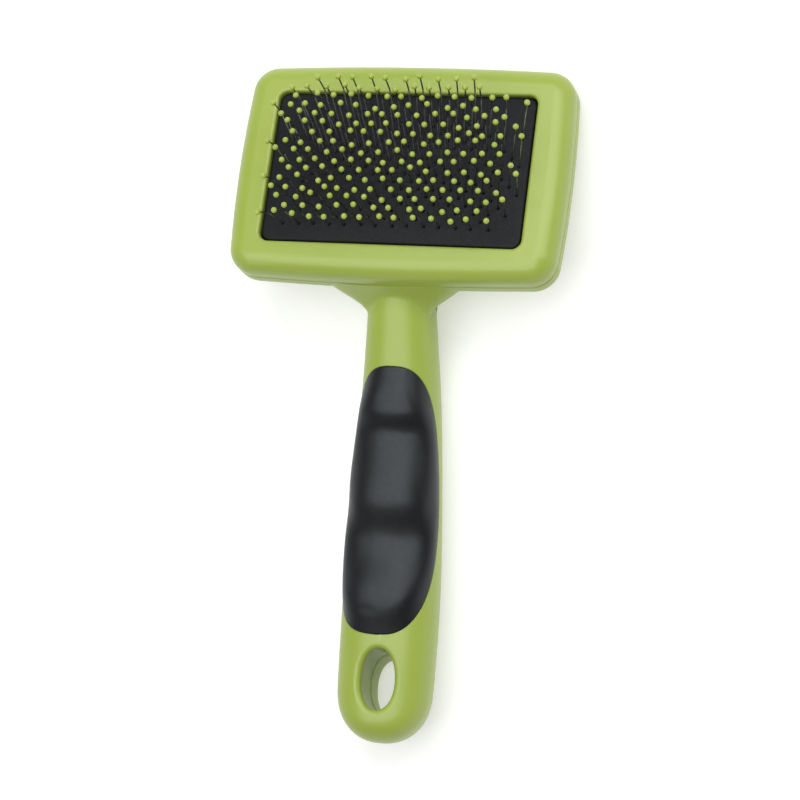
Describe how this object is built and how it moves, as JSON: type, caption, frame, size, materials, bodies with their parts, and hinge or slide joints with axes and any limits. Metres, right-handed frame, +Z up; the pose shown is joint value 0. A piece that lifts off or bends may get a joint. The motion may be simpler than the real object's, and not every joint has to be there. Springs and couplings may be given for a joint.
{
  "type": "slicker brush",
  "caption": "Pet slicker brush: a rectangular cushioned head of fanned, ball-tipped wire pins on a cranked handle with a soft grip and a hanging hole.",
  "frame": {"origin": "bottom centre of the brush's own box, as it lies on its back with the pins up", "axes": "+Y from the butt of the handle towards the far edge of the head, +X across the head, +Z up out of the pin side"},
  "size_m": [0.0994, 0.198, 0.044],
  "materials": {
    "green_plastic": "satin moulded lime green plastic",
    "grip_rubber": "satin black soft-touch rubber",
    "cushion_rubber": "matt charcoal rubber skin",
    "cushion_foam": "dark foam rubber, hidden",
    "support_plastic": "plain dark plastic, hidden",
    "pin_wire": "drawn stainless wire",
    "pin_tip_plastic": "moulded lime green ball"
  },
  "bodies": {
    "root": {"front_bezel": "green_plastic", "head_rear_shell": "green_plastic", "handle_front_shell": "green_plastic", "handle_rear_shell": "green_plastic", "grip_inlay": "grip_rubber", "cushion_membrane": "cushion_rubber", "cushion_foam": "cushion_foam", "support_plate": "support_plastic", "pin_row_01": "pin_wire", "pin_row_02": "pin_wire", "pin_row_03": "pin_wire", "pin_row_04": "pin_wire", "pin_row_05": "pin_wire", "pin_row_06": "pin_wire", "pin_row_07": "pin_wire", "pin_row_08": "pin_wire", "pin_row_09": "pin_wire", "pin_row_10": "pin_wire", "pin_row_11": "pin_wire", "pin_row_12": "pin_wire", "pin_row_13": "pin_wire", "pin_row_14": "pin_wire", "pin_row_15": "pin_wire", "pin_row_16": "pin_wire", "pin_tips_row_01": "pin_tip_plastic", "pin_tips_row_02": "pin_tip_plastic", "pin_tips_row_03": "pin_tip_plastic", "pin_tips_row_04": "pin_tip_plastic", "pin_tips_row_05": "pin_tip_plastic", "pin_tips_row_06": "pin_tip_plastic", "pin_tips_row_07": "pin_tip_plastic", "pin_tips_row_08": "pin_tip_plastic", "pin_tips_row_09": "pin_tip_plastic", "pin_tips_row_10": "pin_tip_plastic", "pin_tips_row_11": "pin_tip_plastic", "pin_tips_row_12": "pin_tip_plastic", "pin_tips_row_13": "pin_tip_plastic", "pin_tips_row_14": "pin_tip_plastic", "pin_tips_row_15": "pin_tip_plastic", "pin_tips_row_16": "pin_tip_plastic"}
  },
  "joints": []
}
